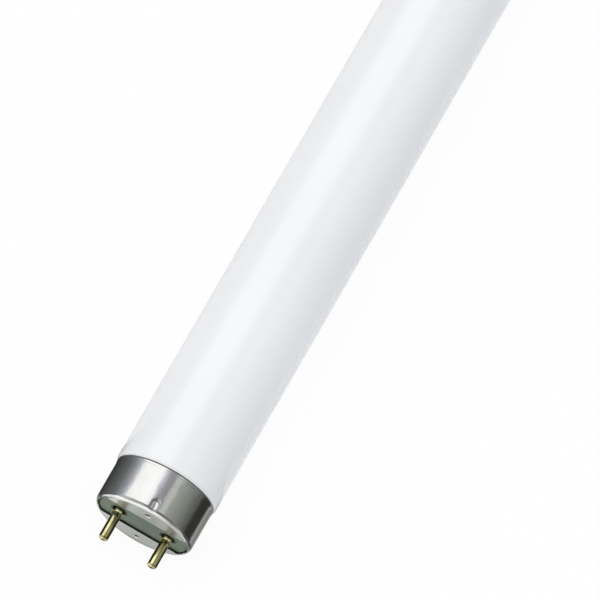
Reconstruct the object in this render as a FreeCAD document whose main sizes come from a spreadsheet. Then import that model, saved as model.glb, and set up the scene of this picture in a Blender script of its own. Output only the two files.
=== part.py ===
"""Straight fluorescent lamp with a two-pin aluminium cap at each end.

Millimetres. X runs along the tube, Y along the line of the pins and Z is up, with the origin at the
middle of the tube, on its axis. The pieces of a cap are drawn in the cap's own frame: x = 0 is the
cap's end face and +x points into the lamp. The near cap lies at -X and the far cap at +X.
"""

import FreeCAD, Part
import math
import os
import Sketcher

# Driving dimensions: alias, value, what it measures
SIZES = [
    ("face_to_face", 589.8, "between the end faces of the two caps"),
    ("glass_diameter", 25.5, "outside of the glass tube"),
    ("shoulder_length", 1.8, "axial length of the step from the tube to its neck"),
    ("end_setback", 4.2, "from a cap's end face to the end of the glass"),
    ("end_radius", 2.2, "rounding of the neck's end"),
    ("end_flat", 1.0, "flat ring between that rounding and the hollow stem"),
    ("stem_depth", 9.0, "depth of the hollow glass stem"),
    ("pinch_diameter", 7.0, "glass pinch at the bottom of the stem"),
    ("exhaust_diameter", 3.0, "sealed exhaust tip"),
    ("exhaust_length", 5.0, "exhaust tip, from the pinch"),
    ("shell_inset", 0.45, "cap shell's skirt, inside the line of the glass"),
    ("shell_length", 11.0, "cap shell, end face to mouth"),
    ("sheet_thickness", 0.35, "aluminium sheet of the shell"),
    ("rim_radius", 1.3, "outer bend between end face and skirt"),
    ("mouth_inset", 0.35, "flared mouth, inside the line of the glass"),
    ("mouth_clearance", 0.05, "around the glass in the flared mouth"),
    ("mouth_length", 0.9, "length of the flared mouth"),
    ("mouth_land", 0.4, "straight end of the flared mouth"),
    ("window_width", 9.8, "window across the end face"),
    ("window_rim", 0.65, "rim left at the window's ends"),
    ("dimple_offset", 8.3, "punched dimple, from the lamp's axis"),
    ("dimple_diameter", 1.5, "opening of a punched dimple"),
    ("dimple_depth", 0.6, "depth of a punched dimple"),
    ("stake_setback", 1.8, "middle of a stake dent, from the end face"),
    ("stake_length", 1.4, "straight part of a stake dent, between its round ends"),
    ("stake_radius", 1.45, "curve of a stake dent around the skirt and of its ends"),
    ("stake_depth", 0.6, "depth of a stake dent"),
    ("plate_thickness", 1.5, "insulator plate"),
    ("plate_clearance", 0.1, "around the insulator plate in the shell"),
    ("plate_gap", 0.25, "between the end face's sheet and the insulator plate"),
    ("pin_spacing", 12.7, "between the two pins of a cap"),
    ("pin_diameter", 2.35, "outside of a pin"),
    ("pin_length", 7.5, "pin beyond the end face"),
    ("tip_wall", 0.6, "thickness of a pin's end"),
    ("tip_flat", 0.07, "flat ring around the hole in a pin's end"),
    ("tip_lip", 0.25, "step from a pin's bore to the hole in its end"),
    ("collar_step", 0.48, "rounded collar at a pin's base, beyond the pin"),
    ("collar_height", 0.8, "rounded collar at a pin's base"),
    ("rivet_step", 0.6, "riveted inner end of a pin, beyond the pin"),
    ("rivet_height", 0.5, "riveted inner end of a pin"),
    ("fit_gap", 0.02, "between pieces that are pressed or cemented together"),
    ("cement_thickness", 0.4, "between the shell and the glass neck"),
    ("cement_front_gap", 0.3, "from the stake dents to the cement"),
    ("cement_back_gap", 1.2, "from the cement to the flare of the mouth"),
    ("lead_diameter", 0.6, "lead-in wire"),
    ("lead_clearance", 0.1, "around a wire in the hole of its pin's end"),
    ("lead_spacing", 4.6, "between the two wires at the glass pinch"),
    ("lead_straight", 0.8, "straight run of a wire behind its pin and before the pinch"),
    ("tip_recess", 0.3, "end of a wire, below its pin's tip"),
]

# Sizes that follow from the driving dimensions
GLASS_R = "Sizes.glass_diameter / 2"
SHELL_R = f"({GLASS_R} - Sizes.shell_inset)"
INNER_R = f"({SHELL_R} - Sizes.sheet_thickness)"
MOUTH_R = f"({GLASS_R} - Sizes.mouth_inset)"
NECK_R = f"({INNER_R} - Sizes.cement_thickness)"
BEND_R = "(Sizes.rim_radius - Sizes.sheet_thickness)"
BEND_START_R = f"({SHELL_R} - Sizes.rim_radius)"
FLARE_START = "(Sizes.shell_length - Sizes.mouth_length)"
LAND_START = "(Sizes.shell_length - Sizes.mouth_land)"
PLATE_FRONT = "(Sizes.sheet_thickness + Sizes.plate_gap)"
PLATE_BACK = f"({PLATE_FRONT} + Sizes.plate_thickness)"
RIVET_BACK = f"({PLATE_BACK} + Sizes.rivet_height)"
PINCH_FACE = "(Sizes.end_setback + Sizes.stem_depth)"

# The caps: name, side of the lamp, turn about Z in degrees
ENDS = [("near", -1, 0), ("far", 1, 180)]
# The pins of a cap as seen facing it: name, side of the cap's axis, turn about X in degrees
SIDES = [("left", 1, 0), ("right", -1, 180)]


def make_sheet(doc):
    """Put the driving dimensions into a spreadsheet, one aliased cell each."""
    sheet = doc.addObject("Spreadsheet::Sheet", "Sizes")
    for row, (alias, value, note) in enumerate(SIZES, start=1):
        sheet.set(f"A{row}", alias)
        sheet.set(f"B{row}", str(value))
        sheet.setAlias(f"B{row}", alias)
        sheet.set(f"C{row}", note)
    doc.recompute()


def origin_feature(body, role):
    """One of the body's own planes or axes."""
    return next(feature for feature in body.Origin.OriginFeatures if feature.Role == role)


def add_sketch(body, name, role, offset=None):
    """A sketch on one of the body's planes, its origin moved by two bound distances if they are given."""
    sketch = body.newObject("Sketcher::SketchObject", name)
    sketch.AttachmentSupport = [(origin_feature(body, role), "")]
    sketch.MapMode = "FlatFace"
    if offset:
        sketch.setExpression("AttachmentOffset.Base.x", offset[0])
        sketch.setExpression("AttachmentOffset.Base.y", offset[1])
    return sketch


def bind(sketch, name, expression, kind, *refs):
    """Add a dimension to a sketch and bind it to an expression."""
    value = float(sketch.evalExpression(expression))
    index = sketch.addConstraint(Sketcher.Constraint(kind, *refs, value))
    sketch.renameConstraint(index, name)
    sketch.setExpression(f"Constraints.{name}", expression)


def arc_middle(start, end, radius, bulge):
    """Point halfway along an arc; bulge is 1 to pass left of the chord and -1 to pass right of it."""
    chord = end - start
    half = chord.Length / 2
    rise = radius - math.sqrt(max(radius * radius - half * half, 0))
    left = FreeCAD.Vector(-chord.y, chord.x, 0).normalize()
    return (start + end) / 2 + left * (bulge * rise)


def draw(sketch, steps, closed=True):
    """Draw an outline through points whose coordinates are expressions.

    A step is (x, y) for a straight run to that point, or (x, y, radius, bulge) for an arc to it.
    A closed outline's first step closes it, and an open one's only gives the starting point.
    """
    corners = [FreeCAD.Vector(sketch.evalExpression(step[0]), sketch.evalExpression(step[1]), 0)
               for step in steps]
    ends = []
    for number, step in enumerate(steps):
        if number == 0 and not closed:
            continue
        start = corners[number - 1]
        end = corners[number]
        if len(step) == 2:
            edge = Part.LineSegment(start, end)
        else:
            radius = float(sketch.evalExpression(step[2]))
            edge = Part.Arc(start, arc_middle(start, end, radius, step[3]), end)
        geo = sketch.addGeometry(edge, False)
        gaps = [sketch.getPoint(geo, point).distanceToPoint(start) for point in (1, 2)]
        first, last = (1, 2) if gaps[0] < gaps[1] else (2, 1)
        if ends:
            sketch.addConstraint(Sketcher.Constraint("Coincident", ends[-1][0], ends[-1][2], geo, first))
        ends.append((geo, first, last))
        bind(sketch, f"x{number}", step[0], "DistanceX", -1, 1, geo, last)
        bind(sketch, f"y{number}", step[1], "DistanceY", -1, 1, geo, last)
        if len(step) == 4:
            bind(sketch, f"radius{number}", step[2], "Radius", geo)
    geo, first, last = ends[0]
    if closed:
        sketch.addConstraint(Sketcher.Constraint("Coincident", ends[-1][0], ends[-1][2], geo, first))
    else:
        bind(sketch, "x0", steps[0][0], "DistanceX", -1, 1, geo, first)
        bind(sketch, "y0", steps[0][1], "DistanceY", -1, 1, geo, first)


def revolve(body, name, role, steps, kind="PartDesign::Revolution", offset=None):
    """Turn an outline once around the sketch's own horizontal axis, to add or to cut."""
    sketch = add_sketch(body, f"{name}_outline", role, offset)
    draw(sketch, steps)
    feature = body.newObject(kind, name)
    feature.Profile = sketch
    feature.ReferenceAxis = (sketch, ["H_Axis"])
    feature.Angle = 360
    body.Document.recompute()
    return feature


def repeat_opposite(body, feature):
    """Repeat a cut on the opposite side of the lamp's axis."""
    pattern = body.newObject("PartDesign::PolarPattern", f"{feature.Name}_pair")
    pattern.Originals = [feature]
    pattern.Axis = (origin_feature(body, "X_Axis"), [""])
    pattern.Angle = 360
    pattern.Occurrences = 2
    body.Tip = pattern
    body.Document.recompute()


def place(body, end, across="0", roll=0):
    """Put a piece drawn in the cap's frame at its end of the lamp, moved across the cap."""
    _, side, turn = end
    turned = FreeCAD.Rotation(FreeCAD.Vector(0, 0, 1), turn)
    rolled = FreeCAD.Rotation(FreeCAD.Vector(1, 0, 0), roll)
    body.Placement = FreeCAD.Placement(FreeCAD.Vector(), turned * rolled)
    body.setExpression("Placement.Base.x", f"{side} * Sizes.face_to_face / 2")
    body.setExpression("Placement.Base.y", f"{-side} * ({across})")


def new_body(doc, label):
    """An empty body with its label."""
    body = doc.addObject("PartDesign::Body", label)
    body.Label = label
    return body


def cut_stakes(body, growth):
    """Cut the two stake dents: short round-ended rods that lie along the skirt, grown by the given amount."""
    half = "Sizes.stake_length / 2"
    belly = f"Sizes.stake_radius + {growth}"
    centre = f"{SHELL_R} + Sizes.stake_radius - Sizes.stake_depth"
    steps = [(f"-({half} + {belly})", "0", belly, -1),
             (f"{half} + {belly}", "0"),
             (half, belly, belly, -1),
             (f"-{half}", belly)]
    dent = revolve(body, f"{body.Label}_stake", "XZ_Plane", steps, "PartDesign::Groove",
                   ("Sizes.stake_setback", centre))
    repeat_opposite(body, dent)


def cut_dimples(body, growth):
    """Cut the two punched dimples: round and flat at the bottom, grown by the given amount."""
    punch_r = f"Sizes.dimple_diameter / 2 + {growth}"
    floor = f"Sizes.dimple_depth + {growth}"
    steps = [("-Sizes.dimple_depth", "0"),
             (floor, "0"),
             (floor, punch_r),
             ("-Sizes.dimple_depth", punch_r)]
    dimple = revolve(body, f"{body.Label}_dimple", "XZ_Plane", steps, "PartDesign::Groove",
                     ("0", "Sizes.dimple_offset"))
    repeat_opposite(body, dimple)


def cup_steps(face, inset, beyond):
    """Outline of the cap's cup: end face, rounded rim, skirt, flared mouth and the axis.

    face is the end face's x, inset how far the cup lies inside the shell's outer surface, and beyond
    how far it runs past the mouth.
    """
    skirt_r = f"{SHELL_R} - {inset}"
    flare_r = f"{MOUTH_R} - {inset}"
    return [(face, "0"),
            (face, BEND_START_R),
            ("Sizes.rim_radius", skirt_r, f"Sizes.rim_radius - {inset}", 1),
            (FLARE_START, skirt_r),
            (LAND_START, flare_r),
            (f"Sizes.shell_length + {beyond}", flare_r),
            (f"Sizes.shell_length + {beyond}", "0")]


def make_shell(doc, end):
    """Cap shell: a drawn cup with stake dents, dimples and the window, of one sheet thickness."""
    hollow = new_body(doc, f"{end[0]}_cap_hollow")
    revolve(hollow, f"{end[0]}_hollow_cup", "XY_Plane",
            cup_steps("Sizes.sheet_thickness", "Sizes.sheet_thickness", "Sizes.mouth_length"))
    cut_stakes(hollow, "Sizes.sheet_thickness")
    cut_dimples(hollow, "Sizes.sheet_thickness")

    shell = new_body(doc, f"{end[0]}_cap_shell")
    revolve(shell, f"{end[0]}_shell_cup", "XY_Plane", cup_steps("0", "0", "0"))
    cut_stakes(shell, "0")
    cut_dimples(shell, "0")
    hollowed = shell.newObject("PartDesign::Boolean", f"{end[0]}_shell_hollowed")
    hollowed.Type = "Cut"
    hollowed.setObjects([hollow])
    doc.recompute()

    half_width = "Sizes.window_width / 2"
    arc_radius = f"({SHELL_R} - Sizes.window_rim)"
    half_chord = f"sqrt({arc_radius} ^ 2 - ({half_width}) ^ 2)"
    sketch = add_sketch(shell, f"{end[0]}_window_outline", "YZ_Plane")
    draw(sketch, [(f"-{half_chord}", half_width),
                  (f"-{half_chord}", f"-{half_width}", arc_radius, -1),
                  (half_chord, f"-{half_width}"),
                  (half_chord, half_width, arc_radius, -1)])
    window = shell.newObject("PartDesign::Pocket", f"{end[0]}_window")
    window.Profile = sketch
    window.Reversed = True
    window.setExpression("Length", "Sizes.rim_radius")
    place(shell, end)
    return shell


def make_plate(doc, end):
    """Insulator plate: a disc with a rounded front edge, two pin holes and room for dents and dimples."""
    plate = new_body(doc, f"{end[0]}_insulator_plate")
    disc_r = f"{INNER_R} - Sizes.plate_clearance"
    revolve(plate, f"{end[0]}_plate_disc", "XY_Plane",
            [(PLATE_FRONT, "0"),
             (PLATE_FRONT, f"{disc_r} - {BEND_R}"),
             (f"{PLATE_FRONT} + {BEND_R}", disc_r, BEND_R, 1),
             (PLATE_BACK, disc_r),
             (PLATE_BACK, "0")])
    room = "(Sizes.sheet_thickness + Sizes.plate_clearance)"
    cut_stakes(plate, room)
    cut_dimples(plate, room)
    sketch = add_sketch(plate, f"{end[0]}_pin_holes_outline", "YZ_Plane")
    for name, side, _ in SIDES:
        hole = sketch.addGeometry(Part.Circle(FreeCAD.Vector(side, 0, 0), FreeCAD.Vector(0, 0, 1), 1), False)
        bind(sketch, f"{name}_across", f"{side} * Sizes.pin_spacing / 2", "DistanceX", -1, 1, hole, 3)
        bind(sketch, f"{name}_up", "0", "DistanceY", -1, 1, hole, 3)
        bind(sketch, f"{name}_radius", "Sizes.pin_diameter / 2 + Sizes.fit_gap", "Radius", hole)
    holes = plate.newObject("PartDesign::Pocket", f"{end[0]}_pin_holes")
    holes.Profile = sketch
    holes.Reversed = True
    holes.setExpression("Length", f"{PLATE_BACK} + Sizes.plate_thickness")
    place(plate, end)
    return plate


def make_pin(doc, end, side):
    """Contact pin: a brass tube with a rounded tip, a rounded collar and a riveted inner end."""
    pin = new_body(doc, f"{end[0]}_{side[0]}_pin")
    pin_r = "Sizes.pin_diameter / 2"
    collar_r = f"{pin_r} + Sizes.collar_step"
    collar_arc = "(Sizes.collar_step + Sizes.collar_height ^ 2 / Sizes.collar_step) / 2"
    hole_r = "(Sizes.lead_diameter / 2 + Sizes.lead_clearance)"
    bore_r = f"{hole_r} + Sizes.tip_lip"
    rivet_r = f"{pin_r} + Sizes.rivet_step"
    tip = "-Sizes.pin_length"
    tip_radius = f"({pin_r} - {hole_r} - Sizes.tip_flat)"
    revolve(pin, f"{pin.Label}_turned", "XY_Plane",
            [(tip, hole_r),
             (tip, f"{pin_r} - {tip_radius}"),
             (f"{tip} + {tip_radius}", pin_r, tip_radius, 1),
             (f"{PLATE_FRONT} - Sizes.collar_height", pin_r),
             (PLATE_FRONT, collar_r, collar_arc, 1),
             (PLATE_FRONT, pin_r),
             (PLATE_BACK, pin_r),
             (PLATE_BACK, rivet_r),
             (RIVET_BACK, rivet_r),
             (RIVET_BACK, bore_r),
             (f"{tip} + Sizes.tip_wall", bore_r),
             (f"{tip} + Sizes.tip_wall", hole_r)])
    place(pin, end, f"{side[1]} * Sizes.pin_spacing / 2")
    return pin


def make_lead(doc, end, side):
    """Lead-in wire: from the pin's tip straight through its bore, then in two equal bends to the pinch."""
    lead = new_body(doc, f"{end[0]}_{side[0]}_lead")
    inward = "(Sizes.pin_spacing - Sizes.lead_spacing) / 2"
    bend_from = f"{RIVET_BACK} + Sizes.lead_straight"
    bend_to = f"{PINCH_FACE} - Sizes.lead_straight"
    run = f"({bend_to} - ({bend_from}))"
    bend_r = f"({run} ^ 2 + ({inward}) ^ 2) / (4 * {inward})"
    path = add_sketch(lead, f"{lead.Label}_path", "XY_Plane")
    draw(path, [("Sizes.tip_recess - Sizes.pin_length", "0"),
                (bend_from, "0"),
                (f"{bend_from} + {run} / 2", f"-{inward} / 2", bend_r, 1),
                (bend_to, f"-{inward}", bend_r, -1),
                (PINCH_FACE, f"-{inward}")], closed=False)
    section = add_sketch(lead, f"{lead.Label}_section", "YZ_Plane")
    section.setExpression("AttachmentOffset.Base.z", "Sizes.tip_recess - Sizes.pin_length")
    circle = section.addGeometry(Part.Circle(FreeCAD.Vector(), FreeCAD.Vector(0, 0, 1), 1), False)
    section.addConstraint(Sketcher.Constraint("Coincident", circle, 3, -1, 1))
    bind(section, "radius", "Sizes.lead_diameter / 2", "Radius", circle)
    doc.recompute()
    wire = lead.newObject("PartDesign::AdditivePipe", f"{lead.Label}_wire")
    wire.Profile = section
    wire.Spine = (path, [f"Edge{number + 1}" for number in range(len(path.Shape.Edges))])
    place(lead, end, f"{side[1]} * Sizes.pin_spacing / 2", side[2])
    return lead


def make_cement(doc, end):
    """Ring of capping cement between the shell's skirt and the glass neck."""
    cement = new_body(doc, f"{end[0]}_cap_cement")
    outer_r = f"{INNER_R} - Sizes.fit_gap"
    inner_r = f"{NECK_R} + Sizes.fit_gap"
    front = ("Sizes.stake_setback + Sizes.stake_length / 2 + Sizes.stake_radius"
             " + Sizes.cement_front_gap")
    back = f"{FLARE_START} - Sizes.cement_back_gap"
    revolve(cement, f"{cement.Label}_ring", "XY_Plane",
            [(front, inner_r), (front, outer_r), (back, outer_r), (back, inner_r)])
    place(cement, end)
    return cement


def make_glass(doc):
    """Glass tube: half of it is turned about its axis and mirrored at its middle.

    At a cap's mouth the tube steps in to its neck in two arcs, which meet just inside the mouth.
    """
    glass = new_body(doc, "glass_tube")
    mouth_r = f"({MOUTH_R} - Sizes.sheet_thickness - Sizes.mouth_clearance)"
    outer_step = f"({GLASS_R} - {mouth_r})"
    inner_step = f"({mouth_r} - {NECK_R})"
    outer_run = f"(Sizes.shoulder_length * {outer_step} / ({GLASS_R} - {NECK_R}))"
    inner_run = f"(Sizes.shoulder_length - {outer_run})"
    outer_arc = f"({outer_run} ^ 2 + {outer_step} ^ 2) / (2 * {outer_step})"
    inner_arc = f"({inner_run} ^ 2 + {inner_step} ^ 2) / (2 * {inner_step})"
    cap_face = "Sizes.face_to_face / 2"
    mouth = f"({cap_face} - Sizes.shell_length)"
    glass_end = f"({cap_face} - Sizes.end_setback)"
    pinch = f"({cap_face} - {PINCH_FACE})"
    exhaust_r = "Sizes.exhaust_diameter / 2"
    exhaust_tip = f"({pinch} + Sizes.exhaust_length)"
    revolve(glass, "glass_half", "XY_Plane",
            [("0", "0"),
             ("0", GLASS_R),
             (f"{mouth} - {outer_run}", GLASS_R),
             (mouth, mouth_r, outer_arc, 1),
             (f"{mouth} + {inner_run}", NECK_R, inner_arc, -1),
             (f"{glass_end} - Sizes.end_radius", NECK_R),
             (glass_end, f"{NECK_R} - Sizes.end_radius", "Sizes.end_radius", 1),
             (glass_end, f"{NECK_R} - Sizes.end_radius - Sizes.end_flat"),
             (pinch, "Sizes.pinch_diameter / 2"),
             (pinch, exhaust_r),
             (f"{exhaust_tip} - {exhaust_r}", exhaust_r),
             (exhaust_tip, "0", exhaust_r, 1)])
    whole = glass.newObject("PartDesign::Mirrored", "glass_whole")
    whole.Originals = [glass.Tip]
    whole.MirrorPlane = (origin_feature(glass, "YZ_Plane"), [""])
    glass.Tip = whole
    return glass


def check(doc, pieces):
    """Stop if any object failed or any piece is not one sound solid."""
    for item in doc.Objects:
        if "Invalid" in item.State or "Error" in item.State:
            raise RuntimeError(f"{item.Name} failed: {item.State}")
    for piece in pieces:
        shape = piece.Shape
        if shape.isNull() or not shape.isValid() or len(shape.Solids) != 1:
            raise RuntimeError(f"{piece.Label} is not one sound solid")


def main():
    """Build the lamp and write one STEP file for each piece."""
    doc = FreeCAD.newDocument("fluorescent_tube")
    make_sheet(doc)
    pieces = [make_glass(doc)]
    for end in ENDS:
        pieces += [make_shell(doc, end), make_plate(doc, end), make_cement(doc, end)]
        for side in SIDES:
            pieces += [make_pin(doc, end, side), make_lead(doc, end, side)]
    doc.recompute()
    check(doc, pieces)
    os.makedirs("parts", exist_ok=True)
    for piece in pieces:
        piece.Shape.exportStep(f"parts/{piece.Label}.step")
        print(f"{piece.Label}: {piece.Shape.Volume:.2f} mm3, {piece.Shape.BoundBox}")


main()
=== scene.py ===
"""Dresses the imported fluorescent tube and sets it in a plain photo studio, seen as in the photograph.

Lengths are millimetres until a mesh or a node is made, unless a docstring or comment says metres. A cap's
own frame has x = 0 at its end face and +x into the lamp, y along the line of its pins and z square to them.
"""

import logging
import math
from collections.abc import Sequence
from dataclasses import dataclass
from enum import Enum

import bmesh
import bpy
import numpy as np
from mathutils import Matrix, Vector


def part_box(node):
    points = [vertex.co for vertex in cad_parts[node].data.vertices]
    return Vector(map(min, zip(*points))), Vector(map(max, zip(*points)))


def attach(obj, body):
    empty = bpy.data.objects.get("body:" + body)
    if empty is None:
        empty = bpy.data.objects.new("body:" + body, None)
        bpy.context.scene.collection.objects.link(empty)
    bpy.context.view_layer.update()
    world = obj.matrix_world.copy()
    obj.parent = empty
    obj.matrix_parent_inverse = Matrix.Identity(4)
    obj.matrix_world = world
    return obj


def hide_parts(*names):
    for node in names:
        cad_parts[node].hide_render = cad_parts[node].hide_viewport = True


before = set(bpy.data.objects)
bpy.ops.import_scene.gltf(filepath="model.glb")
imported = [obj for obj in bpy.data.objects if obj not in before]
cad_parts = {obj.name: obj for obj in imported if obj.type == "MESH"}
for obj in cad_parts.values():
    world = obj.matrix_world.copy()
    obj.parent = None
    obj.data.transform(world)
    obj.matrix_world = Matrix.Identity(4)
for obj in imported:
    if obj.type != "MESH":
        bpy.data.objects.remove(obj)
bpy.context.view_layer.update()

MM = 0.001
BODY = "root"
# Points of a mesh that lie closer together than this, in metres, are welded
WELD = 1e-7
# Between the inside of a cap's mouth and the glass's shoulder, in mm
MOUTH_GAP = 0.05
log = logging.getLogger("fluorescent_tube")

Span = tuple[float, float]


class Word(Enum):
    """A choice whose name is also a word in the nodes' names."""

    @property
    def word(self) -> str:
        """The name as the nodes have it."""
        return self.name.lower()


class End(Word):
    """The lamp's two ends: the value is the side of the middle that the end is on."""

    NEAR = -1
    FAR = 1

    def place(self, points: np.ndarray, face: float) -> np.ndarray:
        """Moves points from the cap's frame to the lamp's: the far cap is the near one turned half round Z.

        Args:
            points: places in the cap's frame, in mm.
            face: distance of the cap's end face from the lamp's middle, in mm.

        Returns:
            The places in the lamp's frame, in mm.
        """
        turn = -self.value
        return points * (turn, turn, 1.0) + (self.value * face, 0.0, 0.0)


class Side(Word):
    """The two sides of a cap or of a pin: the value is the side of the axis in the cap's own frame."""

    LEFT = 1
    RIGHT = -1


# Small helpers


def linear(colour: str, level: float = 1.0) -> tuple[float, float, float, float]:
    """Turns an sRGB hex colour to linear light.

    Args:
        colour: six hex digits.
        level: brightness that the linear colour is multiplied by.

    Returns:
        Red, green, blue and an alpha of 1.
    """
    shares = [int(colour[place:place + 2], 16) / 255 for place in (0, 2, 4)]
    light = [share / 12.92 if share <= 0.04045 else ((share + 0.055) / 1.055) ** 2.4 for share in shares]
    return (*(level * value for value in light), 1.0)


def add_node(tree: bpy.types.NodeTree, kind: str, sockets: dict | None = None, **settings) -> bpy.types.Node:
    """Adds one node to a tree.

    Args:
        tree: the material's or the world's node tree.
        kind: Blender's name for the node's type.
        sockets: for an input's name or number, its value or the output socket to link to it.
        settings: the node's own properties.

    Returns:
        The node.
    """
    node = tree.nodes.new(kind)
    for name, value in settings.items():
        setattr(node, name, value)
    for name, value in (sockets or {}).items():
        if isinstance(value, bpy.types.NodeSocket):
            tree.links.new(value, node.inputs[name])
        else:
            node.inputs[name].default_value = value
    return node


def fill_ramp(ramp: bpy.types.ColorRamp, stops: list[tuple[float, tuple]]) -> None:
    """Gives a colour ramp its stops.

    Args:
        ramp: the ramp, with Blender's two first stops.
        stops: position from 0 to 1 and linear colour of each stop, in order.
    """
    while len(ramp.elements) < len(stops):
        ramp.elements.new(1.0)
    for element, (position, colour) in zip(ramp.elements, stops):
        element.position = position
        element.color = colour


def empty_material(name: str) -> tuple[bpy.types.Material, bpy.types.NodeTree]:
    """Makes a material with no nodes in it yet.

    Args:
        name: the material's name.

    Returns:
        The material and its node tree.
    """
    material = bpy.data.materials.new(name)
    material.use_nodes = True
    material.node_tree.nodes.clear()
    return material, material.node_tree


def per_size(size: float) -> float:
    """Scale of a noise pattern on Object coordinates whose features are about so many mm wide."""
    return 1.0 / (size * MM)


# Shapes as whole arrays


def graded(stops: Sequence[float], counts: Sequence[int]) -> np.ndarray:
    """Rising values from the first stop to the last, with a number of equal steps between each two stops."""
    spans = zip(stops, stops[1:], counts)
    runs = [np.linspace(low, high, count, endpoint=False) for low, high, count in spans]
    return np.concatenate([*runs, stops[-1:]])


def arc(centre: tuple[float, float], radius: float, start: float, end: float, count: int) -> np.ndarray:
    """Points on a circle in the plane of x and radius, at equal angles.

    Args:
        centre: the circle's centre.
        radius: the circle's radius.
        start: first angle from +x, in degrees.
        end: last angle, in degrees.
        count: number of points.

    Returns:
        One row of x and radius for each point.
    """
    angle = np.radians(np.linspace(start, end, count))
    return np.column_stack([centre[0] + radius * np.cos(angle), centre[1] + radius * np.sin(angle)])


def soft_min(first: np.ndarray, second: np.ndarray, blend: float) -> np.ndarray:
    """The lower of two surfaces, with the crease where they cross rounded over a height of about blend."""
    share = np.clip(0.5 + 0.5 * (second - first) / blend, 0.0, 1.0)
    return second + (first - second) * share - blend * share * (1.0 - share)


def rounded_edge(distance: np.ndarray, radius: float) -> np.ndarray:
    """How far a surface drops near an edge rounded to a quarter circle, at a distance from that edge."""
    inside = np.clip(radius - distance, 0.0, radius)
    return radius - np.sqrt(radius ** 2 - inside ** 2)


def turned(profile: np.ndarray, columns: int) -> np.ndarray:
    """Carries a profile of x and radius round the x axis: y and z are the radius times cosine and sine.

    Args:
        profile: one row of x and radius for each point.
        columns: number of equal steps round the axis.

    Returns:
        Points in rows along the profile and columns round the axis.
    """
    angle = np.linspace(0.0, 2.0 * math.pi, columns, endpoint=False)
    x = np.repeat(profile[:, :1], columns, axis=1)
    return np.stack([x, profile[:, 1:] * np.cos(angle), profile[:, 1:] * np.sin(angle)], axis=-1)


@dataclass
class Patch:
    """A grid of points, in mm, and whether its rows or its columns close on themselves."""

    points: np.ndarray
    rows_close: bool = False
    columns_close: bool = False

    def quads(self, first: int) -> np.ndarray:
        """Corner numbers of the grid's faces.

        Args:
            first: number of the patch's first point in the mesh.

        Returns:
            One row of four corners for each face.
        """
        index = first + np.arange(self.points[..., 0].size).reshape(self.points.shape[:2])
        if self.rows_close:
            index = np.vstack([index, index[:1]])
        if self.columns_close:
            index = np.hstack([index, index[:, :1]])
        corners = [index[:-1, :-1], index[:-1, 1:], index[1:, 1:], index[1:, :-1]]
        return np.stack(corners, axis=-1).reshape(-1, 4)


def make_piece(name: str, patches: list[Patch], node: str,
               crease: float = 40.0) -> bpy.types.Object:
    """Joins patches in the lamp's frame to one closed mesh that stands for a CAD node.

    Args:
        name: the piece's name.
        patches: the grids that it is made of; points that fall together are welded.
        node: the CAD node that it replaces.
        crease: angle in degrees from which an edge between faces shows as sharp.

    Returns:
        The piece, riding on the lamp's body.
    """
    firsts = np.cumsum([0] + [patch.points[..., 0].size for patch in patches])
    points = np.concatenate([patch.points.reshape(-1, 3) for patch in patches]) * MM
    quads = np.concatenate([patch.quads(first) for patch, first in zip(patches, firsts)])
    mesh = bpy.data.meshes.new(name)
    mesh.from_pydata(points.tolist(), [], quads.tolist())
    surface = bmesh.new()
    surface.from_mesh(mesh)
    bmesh.ops.remove_doubles(surface, verts=surface.verts, dist=WELD)
    surface.to_mesh(mesh)
    surface.free()
    mesh.shade_smooth()
    mesh.set_sharp_from_angle(angle=math.radians(crease))
    piece = bpy.data.objects.new(name, mesh)
    bpy.context.scene.collection.objects.link(piece)
    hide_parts(node)
    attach(piece, BODY)
    log.info("%s: %d faces", name, len(mesh.polygons))
    return piece


def dress(piece: bpy.types.Object, material: bpy.types.Material) -> None:
    """Gives a piece one material in place of any it had."""
    piece.data.materials.clear()
    piece.data.materials.append(material)


# Finishes


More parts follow.
